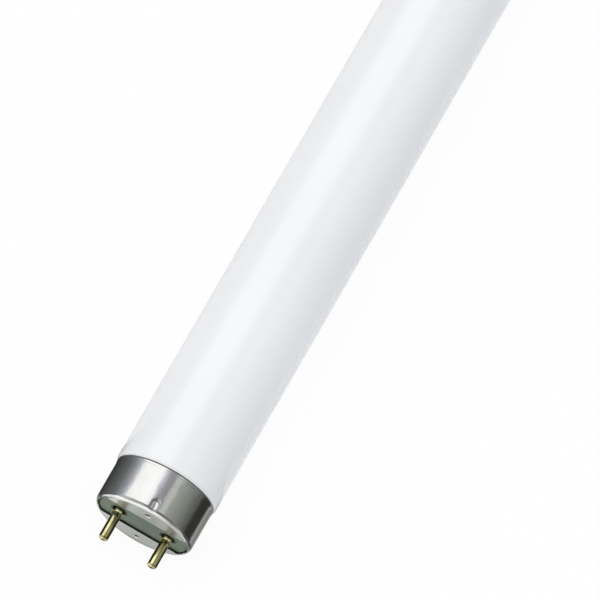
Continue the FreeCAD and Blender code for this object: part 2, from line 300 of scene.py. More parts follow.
@dataclass(frozen=True)
class CoatedGlass:
    """Soda-lime glass tubing, drawn from the melt and coated inside with white phosphor.

    The powder gives an even chalk white with faint clouds where the slurry ran. The glass over it has a
    sharp, weak reflection that wavers a little along the draw. The coat is cleaned off the necks, and where
    they enter the caps they are painted dark grey: partly the bare glass, partly painted shade for the
    crevice at the cap's mouth.
    """

    neck: float
    colour: str = "F3F4F6"
    cloud_colour: str = "ECEDF0"
    cloud_size: float = 30.0
    # The necks' dark grey is partly the bare glass and partly painted shade for the crevice at the mouth
    bare_and_shaded_colour: str = "55534E"
    bare_and_shaded_before_neck: Span = (0.30, 0.14)
    draw_width: float = 9.0
    draw_length: float = 160.0
    roughness: Span = (0.03, 0.06)
    waviness: float = 0.012
    ior: float = 1.52
    gloss: float = 0.8

    def material(self) -> bpy.types.Material:
        """Builds the material."""
        material, tree = empty_material("phosphor_coated_glass")
        place = add_node(tree, "ShaderNodeTexCoord").outputs["Object"]
        clouds = add_node(tree, "ShaderNodeTexNoise", {
            "Vector": place, "Scale": per_size(self.cloud_size), "Detail": 4.0})
        shade = add_node(tree, "ShaderNodeMix", {
            "Factor": clouds.outputs["Fac"], "A": linear(self.colour), "B": linear(self.cloud_colour)},
            data_type="RGBA")
        axes = add_node(tree, "ShaderNodeSeparateXYZ", {"Vector": place})
        reach = add_node(tree, "ShaderNodeMath", {0: axes.outputs["X"]}, operation="ABSOLUTE")
        # Necks painted dark grey towards the caps: the bare glass, and painted shade for the crevice at the
        # mouth
        start, stop = (self.neck - before for before in self.bare_and_shaded_before_neck)
        bare_and_shaded = add_node(tree, "ShaderNodeMapRange", {
            "Value": reach.outputs["Value"], "From Min": start * MM, "From Max": stop * MM},
            interpolation_type="SMOOTHSTEP")
        shade = add_node(tree, "ShaderNodeMix", {
            "Factor": bare_and_shaded.outputs["Result"], "A": shade.outputs["Result"], "B": linear(self.bare_and_shaded_colour)},
            data_type="RGBA")
        along = self.draw_width / self.draw_length
        drawn = add_node(tree, "ShaderNodeMapping", {"Vector": place, "Scale": (along, 1.0, 1.0)})
        draw = add_node(tree, "ShaderNodeTexNoise", {
            "Vector": drawn.outputs["Vector"], "Scale": per_size(self.draw_width), "Detail": 2.0})
        rough = add_node(tree, "ShaderNodeMapRange", {
            "Value": draw.outputs["Fac"], "To Min": self.roughness[0], "To Max": self.roughness[1]})
        wave = add_node(tree, "ShaderNodeBump", {
            "Height": draw.outputs["Fac"], "Strength": self.waviness, "Distance": MM})
        shader = add_node(tree, "ShaderNodeBsdfPrincipled", {
            "Base Color": shade.outputs["Result"], "Roughness": rough.outputs["Result"],
            "Normal": wave.outputs["Normal"], "IOR": self.ior, "Specular IOR Level": self.gloss})
        add_node(tree, "ShaderNodeOutputMaterial", {"Surface": shader.outputs["BSDF"]})
        return material


@dataclass(frozen=True)
class DrawnAluminium:
    """Aluminium sheet, deep drawn to a cup and left bright.

    The skirt has slid through a polished die, so it is near a mirror with fine streaks along the draw, and
    its thin wall is slightly uneven, which frays what it mirrors. The end face has only been pressed and
    keeps the duller rolled skin, but the punch has burnished its dimples. Their bottoms are painted near
    black as painted shade, and the window's cut edge is painted dark as painted shade for the gap beside
    it. Depths are measured from the end face.
    """

    face: float
    window_half: float
    dimple_offset: float
    colour: str = "E2E2E3"
    dull_colour: str = "D3D4D2"
    stain_size: float = 4.0
    stain_range: Span = (0.25, 0.75)
    streak_width: float = 0.22
    streak_length: float = 7.0
    streak_depth: float = 0.007
    uneven_size: float = 1.8
    uneven_depth: float = 0.045
    roughness: Span = (0.06, 0.12)
    face_roughness: float = 0.34
    face_depth: Span = (0.45, 0.05)
    burnished_radii: Span = (0.8, 1.0)
    burnished_share: float = 0.25
    # Painted shade: the window's cut edge is painted dark for the gap beside it
    window_edge_shade_colour: str = "4C4E4A"
    window_edge_shade_height: Span = (0.02, 0.06)
    window_edge_shade_reach: float = 10.3
    # Painted shade: the bottoms of the dimples are painted near black
    dimple_shade_colour: str = "2A2C28"
    dimple_shade_depth: Span = (0.34, 0.22)
    dimple_shade_radius: float = 0.72

    def material(self) -> bpy.types.Material:
        """Builds the material."""
        material, tree = empty_material("drawn_aluminium")
        place = add_node(tree, "ShaderNodeTexCoord").outputs["Object"]
        along = self.streak_width / self.streak_length
        drawn = add_node(tree, "ShaderNodeMapping", {"Vector": place, "Scale": (along, 1.0, 1.0)})
        streaks = add_node(tree, "ShaderNodeTexNoise", {
            "Vector": drawn.outputs["Vector"], "Scale": per_size(self.streak_width), "Detail": 3.0})
        stains = add_node(tree, "ShaderNodeTexNoise", {
            "Vector": place, "Scale": per_size(self.stain_size), "Detail": 5.0, "Roughness": 0.6})
        axes = add_node(tree, "ShaderNodeSeparateXYZ", {"Vector": place})
        reach, across, height = (
            add_node(tree, "ShaderNodeMath", {0: axes.outputs[name]}, operation="ABSOLUTE").outputs[0]
            for name in ("X", "Y", "Z"))
        start, stop = (self.face - depth for depth in self.face_depth)
        pressed = add_node(tree, "ShaderNodeMapRange", {
            "Value": reach, "From Min": start * MM, "From Max": stop * MM}, interpolation_type="SMOOTHSTEP")
        lift = add_node(tree, "ShaderNodeMath", {0: height, 1: self.dimple_offset * MM}, operation="SUBTRACT")
        spot = add_node(tree, "ShaderNodeCombineXYZ", {"X": across, "Y": lift.outputs[0]})
        away = add_node(tree, "ShaderNodeVectorMath", {0: spot.outputs["Vector"]}, operation="LENGTH")
        flat = add_node(tree, "ShaderNodeMapRange", {
            "Value": away.outputs["Value"], "From Min": self.burnished_radii[0] * MM,
            "From Max": self.burnished_radii[1] * MM, "To Min": self.burnished_share})
        pressed = add_node(tree, "ShaderNodeMath", {0: pressed.outputs["Result"], 1: flat.outputs["Result"]},
                           operation="MULTIPLY")
        # Painted shade: the window's cut edge is painted dark for the gap between sheet and plate
        start, stop = (self.window_half + rise for rise in self.window_edge_shade_height)
        low = add_node(tree, "ShaderNodeMapRange", {
            "Value": height, "From Min": start * MM, "From Max": stop * MM, "To Min": 1.0, "To Max": 0.0})
        inward = add_node(tree, "ShaderNodeMath", {0: across, 1: self.window_edge_shade_reach * MM},
                          operation="LESS_THAN")
        window_edge_shade = add_node(tree, "ShaderNodeMath", {0: low.outputs["Result"], 1: inward.outputs[0]},
                           operation="MULTIPLY")
        # Painted shade: near black at the bottoms of the dimples, where the holes lie in shade
        start, stop = (self.face - depth for depth in self.dimple_shade_depth)
        deep = add_node(tree, "ShaderNodeMapRange", {
            "Value": reach, "From Min": start * MM, "From Max": stop * MM, "To Min": 1.0, "To Max": 0.0})
        inside = add_node(tree, "ShaderNodeMath", {0: away.outputs["Value"], 1: self.dimple_shade_radius * MM},
                          operation="LESS_THAN")
        dimple_shade = add_node(tree, "ShaderNodeMath", {0: deep.outputs["Result"], 1: inside.outputs[0]},
                           operation="MULTIPLY")
        shade = add_node(tree, "ShaderNodeMix", {
            "Factor": stains.outputs["Fac"], "A": linear(self.colour), "B": linear(self.dull_colour)},
            data_type="RGBA")
        for mask, colour in ((window_edge_shade, self.window_edge_shade_colour), (dimple_shade, self.dimple_shade_colour)):
            shade = add_node(tree, "ShaderNodeMix", {
                "Factor": mask.outputs[0], "A": shade.outputs["Result"], "B": linear(colour)},
                data_type="RGBA")
        skirt = add_node(tree, "ShaderNodeMapRange", {
            "Value": stains.outputs["Fac"], "From Min": self.stain_range[0], "From Max": self.stain_range[1],
            "To Min": self.roughness[0], "To Max": self.roughness[1]})
        rough = add_node(tree, "ShaderNodeMix", {
            "Factor": pressed.outputs[0], "A": skirt.outputs["Result"], "B": self.face_roughness})
        uneven = add_node(tree, "ShaderNodeTexNoise", {
            "Vector": place, "Scale": per_size(self.uneven_size), "Detail": 3.0, "Roughness": 0.6})
        wall = add_node(tree, "ShaderNodeMath", {
            0: uneven.outputs["Fac"], 1: self.uneven_depth / self.streak_depth, 2: streaks.outputs["Fac"]},
            operation="MULTIPLY_ADD")
        bump = add_node(tree, "ShaderNodeBump", {
            "Height": wall.outputs[0], "Strength": 1.0, "Distance": self.streak_depth * MM})
        shader = add_node(tree, "ShaderNodeBsdfPrincipled", {
            "Base Color": shade.outputs["Result"], "Metallic": 1.0, "Roughness": rough.outputs["Result"],
            "Normal": bump.outputs["Normal"]})
        add_node(tree, "ShaderNodeOutputMaterial", {"Surface": shader.outputs["BSDF"]})
        return material


@dataclass(frozen=True)
class LaminateBoard:
    """Phenolic paper laminate, punched from pressed board.

    Grey green and matt, with short paper fibres just seen in the resin and a faint press sheen. A dark
    ring round each pin's collar is painted shadow.
    """

    pin_offset: float
    colour: str = "6B7A69"
    fibre_colour: str = "778475"
    fibre_size: float = 0.35
    fibre_range: Span = (0.12, 0.42)
    cloud_size: float = 5.0
    # Painted shadow round each pin's collar
    ring_colour: str = "262B24"
    collar_shadow_radii: Span = (1.85, 2.45)
    roughness: Span = (0.42, 0.58)
    grain: float = 0.01
    ior: float = 1.55

    def material(self) -> bpy.types.Material:
        """Builds the material."""
        material, tree = empty_material("phenolic_paper_laminate")
        place = add_node(tree, "ShaderNodeTexCoord").outputs["Object"]
        fibres = add_node(tree, "ShaderNodeTexNoise", {
            "Vector": place, "Scale": per_size(self.fibre_size), "Detail": 4.0, "Distortion": 1.5})
        clouds = add_node(tree, "ShaderNodeTexNoise", {
            "Vector": place, "Scale": per_size(self.cloud_size), "Detail": 2.0})
        mixed = add_node(tree, "ShaderNodeMath", {0: fibres.outputs["Fac"], 1: clouds.outputs["Fac"]},
                         operation="MULTIPLY")
        seen = add_node(tree, "ShaderNodeMapRange", {
            "Value": mixed.outputs[0], "From Min": self.fibre_range[0], "From Max": self.fibre_range[1]})
        shade = add_node(tree, "ShaderNodeMix", {
            "Factor": seen.outputs["Result"], "A": linear(self.colour), "B": linear(self.fibre_colour)},
            data_type="RGBA")
        axes = add_node(tree, "ShaderNodeSeparateXYZ", {"Vector": place})
        across = add_node(tree, "ShaderNodeMath", {0: axes.outputs["Y"]}, operation="ABSOLUTE")
        beside = add_node(tree, "ShaderNodeMath", {0: across.outputs[0], 1: self.pin_offset * MM},
                          operation="SUBTRACT")
        spot = add_node(tree, "ShaderNodeCombineXYZ", {"X": beside.outputs[0], "Y": axes.outputs["Z"]})
        away = add_node(tree, "ShaderNodeVectorMath", {0: spot.outputs["Vector"]}, operation="LENGTH")
        # Painted shadow: a dark ring round each pin's collar
        ring = add_node(tree, "ShaderNodeMapRange", {
            "Value": away.outputs["Value"], "From Min": self.collar_shadow_radii[0] * MM,
            "From Max": self.collar_shadow_radii[1] * MM, "To Min": 1.0, "To Max": 0.0},
            interpolation_type="SMOOTHSTEP")
        shade = add_node(tree, "ShaderNodeMix", {
            "Factor": ring.outputs["Result"], "A": shade.outputs["Result"], "B": linear(self.ring_colour)},
            data_type="RGBA")
        rough = add_node(tree, "ShaderNodeMapRange", {
            "Value": fibres.outputs["Fac"], "To Min": self.roughness[0], "To Max": self.roughness[1]})
        bump = add_node(tree, "ShaderNodeBump", {
            "Height": fibres.outputs["Fac"], "Strength": 1.0, "Distance": self.grain * MM})
        shader = add_node(tree, "ShaderNodeBsdfPrincipled", {
            "Base Color": shade.outputs["Result"], "Roughness": rough.outputs["Result"],
            "Normal": bump.outputs["Normal"], "IOR": self.ior})
        add_node(tree, "ShaderNodeOutputMaterial", {"Surface": shader.outputs["BSDF"]})
        return material


@dataclass(frozen=True)
class RolledBrass:
    """Brass strip, rolled to a tube, drawn and barrel polished.

    Bright yellow with fine lines along the pin and thin olive tarnish in patches. A dark line runs along
    the pin, a little to one side of its top, and the collar's base, where it meets the board, is painted
    dark as painted shade.
    """

    face: float
    pin_offset: float
    colour: str = "E3DEB0"
    tarnish_colour: str = "B9AD70"
    tarnish_size: float = 1.6
    tarnish_range: Span = (0.35, 0.75)
    dark_line_colour: str = "4E4720"
    dark_line_place: float = 0.13
    dark_line_half: Span = (0.03, 0.11)
    # Painted shade where the collar meets the board
    foot_shade_colour: str = "3C381C"
    foot_shade_depth: Span = (0.40, 0.05)
    line_width: float = 0.12
    line_length: float = 3.0
    line_depth: float = 0.0012
    dull_range: Span = (0.3, 0.7)
    roughness: Span = (0.07, 0.14)

    def material(self) -> bpy.types.Material:
        """Builds the material."""
        material, tree = empty_material("rolled_brass")
        place = add_node(tree, "ShaderNodeTexCoord").outputs["Object"]
        along = self.line_width / self.line_length
        drawn = add_node(tree, "ShaderNodeMapping", {"Vector": place, "Scale": (along, 1.0, 1.0)})
        lines = add_node(tree, "ShaderNodeTexNoise", {
            "Vector": drawn.outputs["Vector"], "Scale": per_size(self.line_width), "Detail": 2.0})
        tarnish = add_node(tree, "ShaderNodeTexNoise", {
            "Vector": place, "Scale": per_size(self.tarnish_size), "Detail": 4.0})
        patches = add_node(tree, "ShaderNodeMapRange", {
            "Value": tarnish.outputs["Fac"], "From Min": self.tarnish_range[0],
            "From Max": self.tarnish_range[1]})
        shade = add_node(tree, "ShaderNodeMix", {
            "Factor": patches.outputs["Result"], "A": linear(self.colour), "B": linear(self.tarnish_colour)},
            data_type="RGBA")
        axes = add_node(tree, "ShaderNodeSeparateXYZ", {"Vector": place}).outputs
        side = add_node(tree, "ShaderNodeMath", {0: axes["Y"]}, operation="SIGN")
        # A dark line along the pin, a little to one side of its top
        middle = add_node(tree, "ShaderNodeMath", {
            0: side.outputs[0], 1: self.pin_offset * MM, 2: -self.dark_line_place * MM}, operation="MULTIPLY_ADD")
        apart = add_node(tree, "ShaderNodeMath", {0: axes["Y"], 1: middle.outputs[0]}, operation="SUBTRACT")
        apart = add_node(tree, "ShaderNodeMath", {0: apart.outputs[0]}, operation="ABSOLUTE")
        line = add_node(tree, "ShaderNodeMapRange", {
            "Value": apart.outputs[0], "From Min": self.dark_line_half[0] * MM, "From Max": self.dark_line_half[1] * MM,
            "To Min": 1.0, "To Max": 0.0})
        upper = add_node(tree, "ShaderNodeMath", {0: axes["Z"], 1: 0.0}, operation="GREATER_THAN")
        dark_line = add_node(tree, "ShaderNodeMath", {0: line.outputs["Result"], 1: upper.outputs[0]},
                        operation="MULTIPLY")
        # Painted shade: the collar darkens towards the board, in the crease between them
        reach = add_node(tree, "ShaderNodeMath", {0: axes["X"]}, operation="ABSOLUTE")
        start, stop = (self.face - depth for depth in self.foot_shade_depth)
        foot = add_node(tree, "ShaderNodeMapRange", {
            "Value": reach.outputs[0], "From Min": start * MM, "From Max": stop * MM,
            "To Min": 1.0, "To Max": 0.0})
        for mask, colour in ((dark_line, self.dark_line_colour), (foot, self.foot_shade_colour)):
            shade = add_node(tree, "ShaderNodeMix", {
                "Factor": mask.outputs[0], "A": shade.outputs["Result"], "B": linear(colour)},
                data_type="RGBA")
        rough = add_node(tree, "ShaderNodeMapRange", {
            "Value": tarnish.outputs["Fac"], "From Min": self.dull_range[0], "From Max": self.dull_range[1],
            "To Min": self.roughness[0], "To Max": self.roughness[1]})
        bump = add_node(tree, "ShaderNodeBump", {
            "Height": lines.outputs["Fac"], "Strength": 1.0, "Distance": self.line_depth * MM})
        shader = add_node(tree, "ShaderNodeBsdfPrincipled", {
            "Base Color": shade.outputs["Result"], "Metallic": 1.0, "Roughness": rough.outputs["Result"],
            "Normal": bump.outputs["Normal"]})
        add_node(tree, "ShaderNodeOutputMaterial", {"Surface": shader.outputs["BSDF"]})
        return material


@dataclass(frozen=True)
class CappingCement:
    """Resin cement with mineral filler, cured in the cap: brown, matt and grainy."""

    colour: str = "9A8465"
    grain_colour: str = "7B684E"
    grain_size: float = 0.5
    roughness: Span = (0.75, 0.95)
    depth: float = 0.05

    def material(self) -> bpy.types.Material:
        """Builds the material."""
        material, tree = empty_material("filled_resin_cement")
        place = add_node(tree, "ShaderNodeTexCoord").outputs["Object"]
        grains = add_node(tree, "ShaderNodeTexNoise", {
            "Vector": place, "Scale": per_size(self.grain_size), "Detail": 5.0})
        shade = add_node(tree, "ShaderNodeMix", {
            "Factor": grains.outputs["Fac"], "A": linear(self.colour), "B": linear(self.grain_colour)},
            data_type="RGBA")
        rough = add_node(tree, "ShaderNodeMapRange", {
            "Value": grains.outputs["Fac"], "To Min": self.roughness[0], "To Max": self.roughness[1]})
        bump = add_node(tree, "ShaderNodeBump", {
            "Height": grains.outputs["Fac"], "Strength": 1.0, "Distance": self.depth * MM})
        shader = add_node(tree, "ShaderNodeBsdfPrincipled", {
            "Base Color": shade.outputs["Result"], "Roughness": rough.outputs["Result"],
            "Normal": bump.outputs["Normal"]})
        add_node(tree, "ShaderNodeOutputMaterial", {"Surface": shader.outputs["BSDF"]})
        return material


@dataclass(frozen=True)
class NickelWire:
    """Nickel-plated copper lead wire, drawn and cut: grey with a warm cast and a satin skin."""

    colour: str = "B5A698"
    worn_colour: str = "9C7A5E"
    wear_size: float = 0.3
    roughness: Span = (0.3, 0.5)

    def material(self) -> bpy.types.Material:
        """Builds the material."""
        material, tree = empty_material("nickel_plated_wire")
        place = add_node(tree, "ShaderNodeTexCoord").outputs["Object"]
        wear = add_node(tree, "ShaderNodeTexNoise", {
            "Vector": place, "Scale": per_size(self.wear_size), "Detail": 3.0})
        shade = add_node(tree, "ShaderNodeMix", {
            "Factor": wear.outputs["Fac"], "A": linear(self.colour), "B": linear(self.worn_colour)},
            data_type="RGBA")
        rough = add_node(tree, "ShaderNodeMapRange", {
            "Value": wear.outputs["Fac"], "To Min": self.roughness[0], "To Max": self.roughness[1]})
        shader = add_node(tree, "ShaderNodeBsdfPrincipled", {
            "Base Color": shade.outputs["Result"], "Metallic": 1.0, "Roughness": rough.outputs["Result"]})
        add_node(tree, "ShaderNodeOutputMaterial", {"Surface": shader.outputs["BSDF"]})
        return material


# The lamp's sub-assemblies


@dataclass
class GlassTube:
    """The sealed glass: barrel, shoulders, necks, rounded ends, hollow stems and exhaust tips."""

    face: float
    radius: float
    mouth_x: float
    mouth_radius: float
    neck_radius: float = 11.55
    shoulder_length: float = 1.8
    end_x: float = 4.2
    end_radius: float = 2.2
    end_flat: float = 1.0
    pinch_x: float = 13.2
    pinch_radius: float = 3.5
    exhaust_radius: float = 1.5
    exhaust_length: float = 5.0
    columns: int = 144
    tip_points: int = 10
    bend_points: int = 12
    inner_points: int = 10
    outer_points: int = 14
    barrel_points: int = 40
    crease: float = 32.0

    def end_profile(self) -> np.ndarray:
        """Profile of one end in the cap's frame, from the exhaust tip's pole out to the barrel.

        The tip is a quarter circle, the stem a straight funnel, the end a quarter circle, and the shoulder
        two arcs that meet at the cap's mouth, each tangent to the cylinder that it leaves.

        Returns:
            One row of x and radius for each point.
        """
        outer_step = self.radius - self.mouth_radius
        inner_step = self.mouth_radius - self.neck_radius
        outer_run = self.shoulder_length * outer_step / (self.radius - self.neck_radius)
        inner_run = self.shoulder_length - outer_run
        outer_arc = (outer_run ** 2 + outer_step ** 2) / (2 * outer_step)
        inner_arc = (inner_run ** 2 + inner_step ** 2) / (2 * inner_step)
        inner_turn = math.degrees(math.asin(inner_run / inner_arc))
        outer_turn = math.degrees(math.asin(outer_run / outer_arc))
        tip_x = self.pinch_x - self.exhaust_length
        bend = (self.end_x + self.end_radius, self.neck_radius - self.end_radius)
        inner = (self.mouth_x - inner_run, self.neck_radius + inner_arc)
        outer = (self.mouth_x + outer_run, self.radius - outer_arc)
        return np.concatenate([
            arc((tip_x + self.exhaust_radius, 0.0), self.exhaust_radius, 180, 90, self.tip_points),
            [(self.pinch_x, self.exhaust_radius), (self.pinch_x, self.pinch_radius)],
            [(self.end_x, self.neck_radius - self.end_radius - self.end_flat)],
            arc(bend, self.end_radius, 180, 90, self.bend_points),
            arc(inner, inner_arc, -90, inner_turn - 90, self.inner_points),
            arc(outer, outer_arc, 90 + outer_turn, 90, self.outer_points)[1:],
        ])

    def build(self) -> bpy.types.Object:
        """Turns both ends' profiles, joined by the straight barrel, to the whole glass.

        Returns:
            The piece.
        """
        near = self.end_profile() - (self.face, 0.0)
        far = near[::-1] * (-1.0, 1.0)
        barrel = np.linspace(near[-1], far[0], self.barrel_points)[1:-1]
        profile = np.concatenate([near, barrel, far])
        return make_piece("coated_glass_tube", [Patch(turned(profile, self.columns), columns_close=True)],
                          "glass_tube", self.crease)


@dataclass
class CapShell:
    """A cap's drawn cup: crescents of end face, rounded rim, skirt, flared mouth, dimples and stakes."""

    radius: float
    length: float
    mouth_radius: float
    sheet: float = 0.35
    rim_radius: float = 1.3
    flare_start: float = 10.1
    flare_end: float = 10.6
    window_half: float = 4.9
    window_radius: float = 11.65
    edge_radius: float = 0.13
    dimple_offset: float = 8.3
    dimple_mouth: float = 0.86
    dimple_radius: float = 0.64
    dimple_depth: float = 0.6
    dimple_wall: float = 6.0
    dimple_lip: float = 0.4
    stake_start: float = 1.1
    stake_end: float = 1.75
    stake_taper: float = 0.61
    stake_width: float = 1.17
    stake_depth: float = 0.6
    stake_power: float = 3.0
    crease: float = 0.04
    side_columns: int = 36

    # Stops of the grid, in degrees past the window's end, mm past the stake, degrees and mm up the crescent
    RIM_STOP = 7.0
    SKIRT_STOP = 2.15
    FAN_STOPS = (0.0, 7.5, 12.0, 66.0)
    RISE_STOPS = (0.5, 2.2, 4.6)
    # Steps between those stops: round the rim, along the skirt, over half the fan and up the crescent
    RIM_STEPS = (6, 7, 13)
    SKIRT_STEPS = (30, 7, 9, 3, 6)
    FAN_STEPS = (26, 9, 34)
    RISE_STEPS = (6, 3, 6, 40, 8)
    # Where a stake is looked for: up to a share past its edge, and above a share of the radius
    STAKE_REACH = 1.5
    STAKE_SIDE = 0.6

    @property
    def bend_start(self) -> float:
        """Radius at which the flat end face turns into the rim."""
        return self.radius - self.rim_radius

    def window_angle(self, radius: np.ndarray) -> np.ndarray:
        """Angle from the line of the pins to the window's edge: arc sine of its half width by the radius."""
        return np.arcsin(self.window_half / np.minimum(radius, self.window_radius))

    def meridian(self) -> tuple[np.ndarray, np.ndarray]:
        """The outer surface from the end face's edge to the mouth, as a line of x and radius.

        The rim is a quarter circle, the skirt a cylinder, and the mouth flares by a smooth step to its land.

        Returns:
            One row of x and radius for each point, and the normal's angle from -x at each, in radians.
        """
        split = math.degrees(math.asin((self.window_radius - self.bend_start) / self.rim_radius))
        turn = np.radians(graded([0.0, split, split + self.RIM_STOP, 90.0], self.RIM_STEPS))
        rim = np.column_stack([1.0 - np.cos(turn), np.sin(turn)]) * self.rim_radius + (0.0, self.bend_start)
        x = graded([self.rim_radius, self.stake_end + self.SKIRT_STOP, self.flare_start, self.flare_end,
                    self.length - self.edge_radius, self.length], self.SKIRT_STEPS)[1:]
        step = np.clip((x - self.flare_start) / (self.flare_end - self.flare_start), 0.0, 1.0)
        flare = self.radius + (self.mouth_radius - self.radius) * step * step * (3.0 - 2.0 * step)
        line = np.concatenate([rim, np.column_stack([x, flare])])
        return line, np.concatenate([turn, np.full(len(x), math.pi / 2)])

    def dented(self, points: np.ndarray, depth: float) -> np.ndarray:
        """Presses the dimple and the stake into the upper half of the surface, or of one that lies under it.

        A dimple is a round hollow with a lip at 45 degrees, then a steep wall to a flat floor. A stake is a
        trough along x with round ends, the inner one drawn out: its depth falls off with the third power of
        the distance from its middle line. Each crease is rounded.

        Args:
            points: places in the cap's frame.
            depth: how far below the outer surface the points lie.

        Returns:
            The dented places.
        """
        x, y, z = np.moveaxis(points, -1, 0)
        away = np.hypot(y, z - self.dimple_offset)
        lip = self.dimple_mouth + self.dimple_lip * depth - away
        wall = self.dimple_mouth - self.dimple_radius + self.dimple_wall * (self.dimple_radius + depth - away)
        floor = depth + np.minimum(np.maximum(lip, wall), self.dimple_depth)
        on_face = (x < self.rim_radius / 3) & (away < 2 * self.dimple_radius)
        x = np.where(on_face, -soft_min(-x, -floor, self.crease), x)
        past = np.maximum(self.stake_taper * (x - self.stake_end), self.stake_start - x)
        share = (y ** 2 + np.clip(past, 0.0, None) ** 2) / (self.stake_width + depth) ** 2
        trough = self.radius - depth - self.stake_depth * (1.0 - share ** (self.stake_power / 2))
        near = (share < self.STAKE_REACH) & (z > self.STAKE_SIDE * self.radius)
        z = np.where(near, soft_min(z, trough, self.crease), z)
        return np.stack([x, y, z], axis=-1)

    def surface(self, x: np.ndarray, radius: np.ndarray, angle: np.ndarray, lean: np.ndarray) -> np.ndarray:
        """Closes the outer and inner surfaces over one grid to a sheet of even thickness.

        Each inner point lies a sheet's thickness along the normal below its outer point. The outer surface
        drops by a quarter circle towards the window and the mouth, as the press left those edges.

        Args:
            x: distance of each point from the end face.
            radius: distance of each point from the axis.
            angle: angle of each point from the line of the pins, in radians.
            lean: angle of the normal from -x at each point, in radians.

        Returns:
            The outer rows, then the inner rows backwards.
        """
        out = np.sin(lean)
        normal = np.stack([-np.cos(lean), out * np.cos(angle), out * np.sin(angle)], axis=-1)
        base = np.stack([x, radius * np.cos(angle), radius * np.sin(angle)], axis=-1)
        past_side = np.clip(np.abs(base[..., 2]) - self.window_half, 0.0, None)
        past_end = np.clip(radius - self.window_radius, 0.0, None)
        to_edge = np.minimum(np.hypot(past_side, past_end), self.length - x)
        outer = base - normal * rounded_edge(to_edge, self.edge_radius)[..., None]
        inner = base - normal * self.sheet
        return np.concatenate([self.dented(outer, 0.0), self.dented(inner, self.sheet)[::-1]])

    def patches(self) -> list[Patch]:
        """The shell's grids in the cap's frame.

        The upper crescent with the rim and skirt behind it is one grid. Its columns are fanned about the
        top, and run straight up from the window over the face, then along the rim and the skirt. A narrower
        grid joins it on each side, and a half turn about the axis gives the other half.

        Returns:
            Eight grids that close together: crescents, sides and the window's edges in the rim.
        """
        line, lean = self.meridian()
        split = int(np.argmin(np.abs(line[:, 1] - self.window_radius)))
        half_fan = graded(self.FAN_STOPS, self.FAN_STEPS)
        fan = np.concatenate([-half_fan[:0:-1], half_fan]) / half_fan[-1]
        radius = np.repeat(line[:, 1:], len(fan), axis=1)
        angle = math.pi / 2 + fan * (math.pi / 2 - self.window_angle(radius))
        height = self.bend_start - self.window_half
        rise = graded([0.0, self.edge_radius, *self.RISE_STOPS, height], self.RISE_STEPS)[:-1, None] / height
        across = self.bend_start * np.cos(angle[0])
        up = self.window_half + rise * (self.bend_start * np.sin(angle[0]) - self.window_half)
        rows = len(rise)
        crescent = self.surface(
            np.concatenate([np.zeros((rows, len(fan))), np.repeat(line[:, :1], len(fan), axis=1)]),
            np.concatenate([np.hypot(across, up), radius]),
            np.concatenate([np.arctan2(up, np.broadcast_to(across, up.shape)), angle]),
            np.concatenate([np.zeros((rows, len(fan))), np.repeat(lean[:, None], len(fan), axis=1)]))
        edge = self.window_angle(np.array(self.window_radius))
        swing = np.linspace(-edge, edge, self.side_columns)
        behind = np.ones((len(line) - split, 1))
        side = self.surface(line[split:, :1] * np.ones_like(swing), line[split:, 1:] * np.ones_like(swing),
                            behind * swing, lean[split:, None] * np.ones_like(swing))
        total = len(crescent)
        start, stop = rows, rows + split + 1
        first = np.stack([crescent[total - stop:total - start, 0][::-1], crescent[start:stop, 0]], axis=1)
        last = np.stack([crescent[start:stop, -1], crescent[total - stop:total - start, -1][::-1]], axis=1)
        half_turn = np.array([1.0, -1.0, -1.0])
        grids = [Patch(crescent, rows_close=True), Patch(side, rows_close=True), Patch(first), Patch(last)]
        return grids + [Patch(grid.points * half_turn, rows_close=grid.rows_close) for grid in grids]


@dataclass
class ContactPin:
    """A hollow pin: rounded tip with its hole, shank, collar against the plate and riveted inner end."""

    radius: float
    tip_x: float
    seat_x: float = 0.6
    plate: float = 1.5
    hole_radius: float = 0.4
    bore_radius: float = 0.65
    tip_flat: float = 0.07
    tip_wall: float = 0.6
    collar_step: float = 0.48
    collar_height: float = 0.8
    rivet_step: float = 0.6
    rivet_height: float = 0.5
    columns: int = 72
    tip_points: int = 14
    shank_points: int = 12
    collar_points: int = 12

    def profile(self) -> np.ndarray:
        """The pin's closed section, from the hole's edge over tip, shank and collar and back along the bore.

        The tip is a quarter circle, the shank and the bore straight, and the collar an arc tangent to its own
        greatest radius at the plate.

        Returns:
            One row of x and radius for each point.
        """
        tip_radius = self.radius - self.hole_radius - self.tip_flat
        collar_arc = (self.collar_step + self.collar_height ** 2 / self.collar_step) / 2
        collar_turn = math.degrees(math.asin(self.collar_height / collar_arc))
        collar = (self.seat_x, self.radius + self.collar_step - collar_arc)
        back = self.seat_x + self.plate
        rivet_x, rivet_radius = back + self.rivet_height, self.radius + self.rivet_step
        bore_x = self.tip_x + self.tip_wall
        shank = (self.tip_x + tip_radius, self.seat_x - self.collar_height)
        shank_x = np.linspace(*shank, self.shank_points)[1:-1]
        return np.concatenate([
            [(self.tip_x, self.hole_radius)],
            arc((shank[0], self.radius - tip_radius), tip_radius, 180, 90, self.tip_points),
            np.column_stack([shank_x, np.full_like(shank_x, self.radius)]),
            arc(collar, collar_arc, 90 + collar_turn, 90, self.collar_points),
            [(self.seat_x, self.radius), (back, self.radius), (back, rivet_radius), (rivet_x, rivet_radius),
             (rivet_x, self.bore_radius), (bore_x, self.bore_radius), (bore_x, self.hole_radius)],
        ])

    def patch(self, across: float) -> Patch:
        """The pin in the cap's frame, at a distance across from the axis."""
        points = turned(self.profile(), self.columns) + (0.0, across, 0.0)
        return Patch(points, rows_close=True, columns_close=True)


